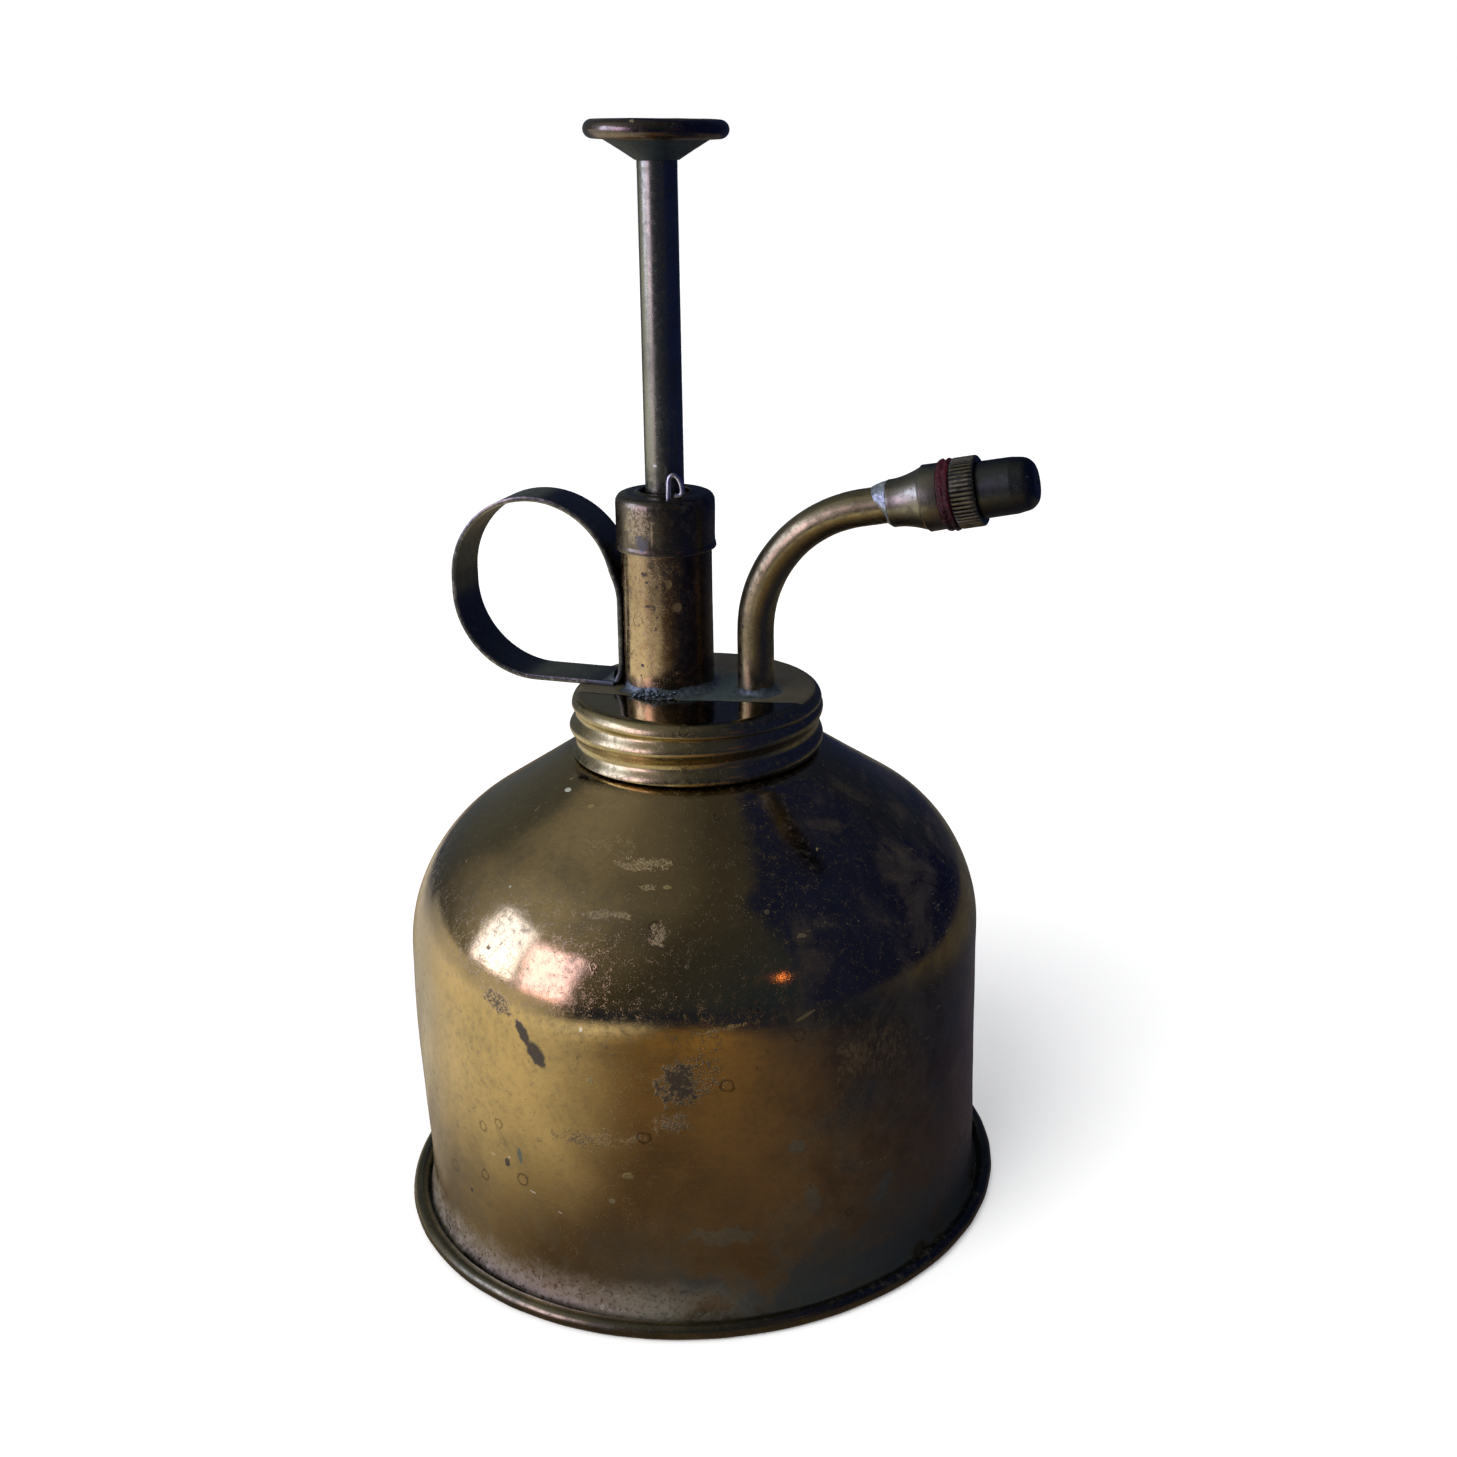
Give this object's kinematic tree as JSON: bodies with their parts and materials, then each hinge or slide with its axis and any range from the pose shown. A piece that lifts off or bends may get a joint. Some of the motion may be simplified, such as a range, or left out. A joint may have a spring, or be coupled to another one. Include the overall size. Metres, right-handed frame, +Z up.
{
  "type": "plant mister",
  "caption": "Brass hand-pump water mister: domed round tank, screw lid with sprung push plunger and finger ring, and a bent spout ending in a knurled screw-on spray nozzle.",
  "frame": {"origin": "centre of the base on the surface it stands on, on the tank's axis", "axes": "+Z up along the tank's axis, +X towards the spout's nozzle, -X towards the finger ring"},
  "size_m": [0.1056, 0.1, 0.1769],
  "materials": {
    "tank_brass": "aged, tarnished olive brown with worn golden areas",
    "bright_brass": "aged, golden with dark spots",
    "dark_brass": "dark tarnish",
    "solder": "dull grey tin solder",
    "steel": "satin",
    "leather": "oiled",
    "black_rubber": "matt",
    "red_rubber": "worn, slightly glossy"
  },
  "bodies": {
    "reservoir": {"reservoir_shell": "tank_brass", "neck_collar": "tank_brass", "base_pan": "tank_brass", "base_solder": "solder"},
    "gasket": {"lid_gasket": "black_rubber"},
    "lid_assembly": {"lid": "tank_brass", "pump_barrel": "bright_brass", "barrel_cap": "dark_brass", "finger_ring": "dark_brass", "ring_corner_solder": "solder", "ring_back_solder": "solder", "barrel_solder": "solder", "spout_tube": "bright_brass", "spout_solder": "solder", "nozzle_ferrule": "bright_brass", "nozzle_solder": "solder", "swirl_core": "bright_brass", "foot_valve_body": "bright_brass", "inlet_stop_pin": "steel", "dip_tube": "bright_brass", "strainer": "bright_brass", "delivery_tube": "bright_brass", "outlet_stop_pin": "steel", "wire_clip": "steel", "return_spring": "steel"},
    "plunger": {"button_top": "dark_brass", "button_cone": "dark_brass", "plunger_rod": "bright_brass", "rod_end_plug": "bright_brass", "piston_back_washer": "bright_brass", "leather_cup": "leather", "piston_front_washer": "bright_brass", "piston_nut": "bright_brass"},
    "inlet_valve": {"inlet_ball": "steel"},
    "outlet_valve": {"outlet_ball": "steel"},
    "washer": {"nozzle_washer": "red_rubber"},
    "nozzle_cap": {"nozzle_collar": "dark_brass", "nozzle_tip": "dark_brass"}
  },
  "joints": [
    {"name": "gasket_lift", "type": "slide", "parent": "reservoir", "child": "gasket", "axis": [0, 0, 1], "range_m": [0, 0.0096]},
    {"name": "lid_turn", "type": "hinge", "parent": "gasket", "child": "lid_assembly", "pos_m": [0, 0, 0.08], "axis": [0, 0, 1], "range_deg": [0, 720]},
    {"name": "plunger_press", "type": "slide", "parent": "lid_assembly", "child": "plunger", "axis": [0, 0, -1], "range_m": [0, 0.048], "stiffness_N_per_m": 90, "springref_m": -0.03, "deforming": ["return_spring"]},
    {"name": "inlet_ball_lift", "type": "slide", "parent": "lid_assembly", "child": "inlet_valve", "axis": [0, 0, 1], "range_m": [0, 0.0012]},
    {"name": "outlet_ball_lift", "type": "slide", "parent": "lid_assembly", "child": "outlet_valve", "axis": [0, 0, 1], "range_m": [0, 0.0012]},
    {"name": "washer_shift", "type": "slide", "parent": "lid_assembly", "child": "washer", "axis": [0.9792, 0, 0.2028], "range_m": [0, 0.003]},
    {"name": "nozzle_cap_turn", "type": "hinge", "parent": "washer", "child": "nozzle_cap", "pos_m": [0.03244, 0, 0.11974], "axis": [0.9792, 0, 0.2028], "range_deg": [0, 1080]}
  ],
  "couplings": [
    {"joint": "lid_turn", "follows": "gasket_lift", "rad_per_m": 1309},
    {"joint": "nozzle_cap_turn", "follows": "washer_shift", "rad_per_m": 6283}
  ]
}
